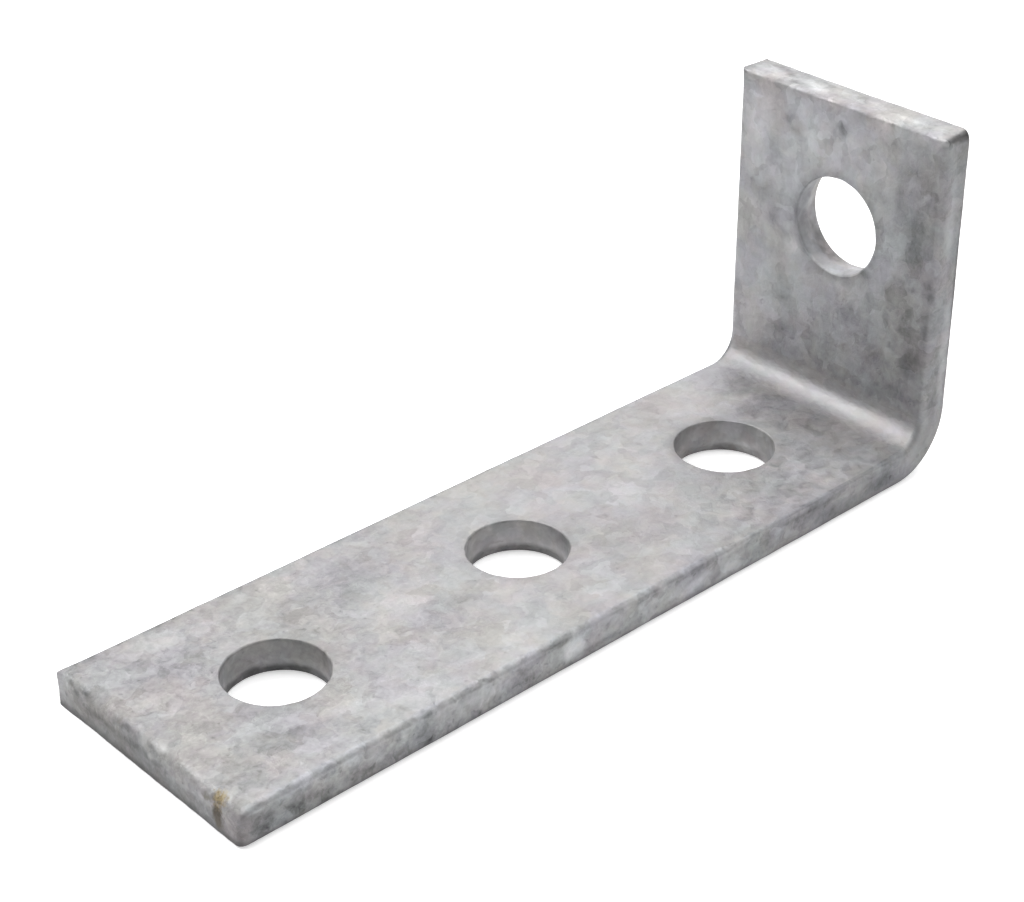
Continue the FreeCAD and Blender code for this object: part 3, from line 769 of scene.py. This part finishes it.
# the one rust spot, yellow at its top and brown below
rust = math_node("MAXIMUM", spot((0.2, -15.6, 2.9), (1.4, 1.10, 2.0), 0.40, 0.35), spot((0.6, -15.7, 5.3), (1.2, 1.15, 0.70), 0.5, 0.45))
rust2 = spot((0.3, -13.4, 4.5), (0.8, 0.95, 0.45), 0.25, 0.5)
rust_tone = colour_ramp(
    remap(total([(sepb.outputs["Z"], 0.0, 0.22), (n05, 0.5, 0.9)], 0.0), 0.3, 1.3),
    [(0.0, (0.14, 0.12, 0.095, 1)), (0.45, (0.085, 0.070, 0.048, 1)), (0.62, (0.15, 0.115, 0.065, 1)), (0.84, (0.36, 0.28, 0.14, 1)), (1.0, (0.46, 0.39, 0.26, 1))],
)
rust_area = rust
colour = mix(math_node("MULTIPLY", rust, 0.88), colour, rust_tone)
colour = mix(math_node("MULTIPLY", rust2, 0.60), colour, (0.20, 0.18, 0.14, 1))
nt.links.new(colour, bsdf.inputs["Base Color"])

nt.links.new(remap(math_node("MAXIMUM", rust, math_node("MULTIPLY", pits, 0.5)), 0.0, 1.0, 0.70, 0.20), bsdf.inputs["Metallic"])
gloss = total([(n7, 0.5, 0.25), (n3, 0.5, 0.50), (n1, 0.5, 0.50), (dab, 0.5, 0.10), (big2, 0.5, 0.08), (read("tone"), 0.0, -0.02), (read("dull"), 0.0, 0.13), (rust_area, 0.0, 0.25)], 0.50)
# the inside of the bend, under the painted highlight, is more even
gloss = math_node("ADD", 0.50, math_node("MULTIPLY", math_node("SUBTRACT", gloss, 0.50), math_node("MINIMUM", read("mottle"), 1.0)))
nt.links.new(remap(gloss, 0.34, 0.90, 0.34, 0.90), bsdf.inputs["Roughness"])

height = total([(n3, 0.5, 0.8), (n1, 0.5, 0.8), (n05, 0.5, 0.25), (vein, 0.0, 0.08), (speck, 0.0, -0.12)], 0.0)
bump = nt.nodes.new("ShaderNodeBump")
bump.inputs["Strength"].default_value = 0.8
bump.inputs["Distance"].default_value = 0.00012
nt.links.new(math_node("MULTIPLY", height, read("mottle")), bump.inputs["Height"])
nt.links.new(bump.outputs[0], bsdf.inputs["Normal"])
mesh.materials.append(mat)

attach(bracket, "root")
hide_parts("angle_bracket")

# ---------------------------------------------------------------- floor
FLOOR_ALBEDO, FLOOR_GLOW, FLOOR_SEEN = 0.92, 0.08, 0.55  # the last is what the camera sees of the glow
fm = bpy.data.meshes.new("floor")
s = 6.0
fm.from_pydata([(-s, -s, 0), (s, -s, 0), (s, s, 0), (-s, s, 0)], [], [(0, 1, 2, 3)])
floor = bpy.data.objects.new("floor", fm)
bpy.context.scene.collection.objects.link(floor)
floor.location.z = -0.00002
fmat = bpy.data.materials.new("floor_paper")
fmat.use_nodes = True
fb = fmat.node_tree.nodes["Principled BSDF"]
fb.inputs["Base Color"].default_value = (FLOOR_ALBEDO, FLOOR_ALBEDO, FLOOR_ALBEDO, 1)
fb.inputs["Roughness"].default_value = 1.0
fb.inputs["Specular IOR Level"].default_value = 0.0
fb.inputs["Emission Color"].default_value = (1, 1, 1, 1)
fpath = fmat.node_tree.nodes.new("ShaderNodeLightPath")
fglow = fmat.node_tree.nodes.new("ShaderNodeMapRange")
fglow.inputs["To Min"].default_value = FLOOR_GLOW
fglow.inputs["To Max"].default_value = FLOOR_SEEN
fmat.node_tree.links.new(fpath.outputs["Is Camera Ray"], fglow.inputs["Value"])
fmat.node_tree.links.new(fglow.outputs[0], fb.inputs["Emission Strength"])
fm.materials.append(fmat)

# ---------------------------------------------------------------- light
# softboxes: name, where they stand, distance in m, size in m, radiance
LIGHTS = [
    ("key", (-0.49, 0.55, 0.67), 1.2, (0.6, 0.6), 5.3),
    ("top", (0.05, 0.1, 1.0), 1.3, (1.6, 1.6), 2.2),
    ("back", (0.62, 0.62, 0.48), 1.5, (1.2, 1.0), 1.9),
    ("near", (0.15, -0.95, 0.35), 1.5, (1.2, 0.8), 0.75),
    ("right", (0.72, -0.48, 0.55), 1.5, (1.1, 0.8), 1.3),
]
SKY_LOW, SKY_HIGH = 0.04, 0.10  # radiance at the horizon and overhead


def softbox(name, direction, distance, size, radiance):
    light = bpy.data.lights.new(name, "AREA")
    light.shape = "RECTANGLE"
    light.size, light.size_y = size
    light.energy = radiance * size[0] * size[1] * math.pi  # a flat emitter of that radiance
    o = bpy.data.objects.new(name, light)
    d = Vector(direction).normalized()
    o.location = d * distance + Vector((0, 0, 0.01))
    o.rotation_euler = d.to_track_quat("Z", "Y").to_euler()
    o.visible_camera = False
    bpy.context.scene.collection.objects.link(o)
    return o


for name, direction, distance, size, radiance in LIGHTS:
    softbox(name, direction, distance, size, radiance)

world = bpy.data.worlds.new("studio")
world.use_nodes = True
bpy.context.scene.world = world
wt = world.node_tree
wt.nodes.clear()
wo = wt.nodes.new("ShaderNodeOutputWorld")
bg = wt.nodes.new("ShaderNodeBackground")
seen = wt.nodes.new("ShaderNodeBackground")
seen.inputs["Color"].default_value = (0.95, 0.95, 0.95, 1)
path = wt.nodes.new("ShaderNodeLightPath")
wmix = wt.nodes.new("ShaderNodeMixShader")
tc = wt.nodes.new("ShaderNodeTexCoord")
sep = wt.nodes.new("ShaderNodeSeparateXYZ")
ramp = wt.nodes.new("ShaderNodeMapRange")
ramp.interpolation_type = "SMOOTHSTEP"
ramp.inputs["From Min"].default_value = 0.0
ramp.inputs["From Max"].default_value = 1.0
ramp.inputs["To Min"].default_value = SKY_LOW
ramp.inputs["To Max"].default_value = SKY_HIGH
wt.links.new(tc.outputs["Generated"], sep.inputs[0])
wt.links.new(sep.outputs["Z"], ramp.inputs["Value"])
wt.links.new(ramp.outputs[0], bg.inputs["Color"])
bg.inputs["Strength"].default_value = 1.0
wt.links.new(path.outputs["Is Camera Ray"], wmix.inputs[0])
wt.links.new(bg.outputs[0], wmix.inputs[1])
wt.links.new(seen.outputs[0], wmix.inputs[2])
wt.links.new(wmix.outputs[0], wo.inputs[0])

# ---------------------------------------------------------------- camera, at the photograph's viewing angle
cam_data = bpy.data.cameras.new("camera")
cam_data.sensor_fit = "HORIZONTAL"
cam_data.sensor_width = 36.0
cam_data.lens = 78.34481406684988
cam_data.shift_x = -0.07684048841996771
cam_data.shift_y = -0.02404991349788338
cam_data.clip_start, cam_data.clip_end = 0.01, 50.0
cam = bpy.data.objects.new("camera", cam_data)
bpy.context.scene.collection.objects.link(cam)
right = Vector((0.7201046525152125, -0.6938037369210659, 0.00925548811838689))
up = Vector((0.3398270626454576, 0.36427629984284876, 0.8670757434426147))
rear = Vector((-0.6049519459591028, -0.6212400115954922, 0.4980903442881895))
place = Vector((-0.18547212891695193, -0.20113295428196855, 0.18216147510750883))
m = Matrix((right, up, rear)).transposed().to_4x4()
m.translation = place
cam.matrix_world = m
bpy.context.scene.camera = cam
bpy.context.scene.view_settings.view_transform = "Standard"
bpy.context.scene.view_settings.look = "None"

# ---------------------------------------------------------------- end
bpy.context.view_layer.update()
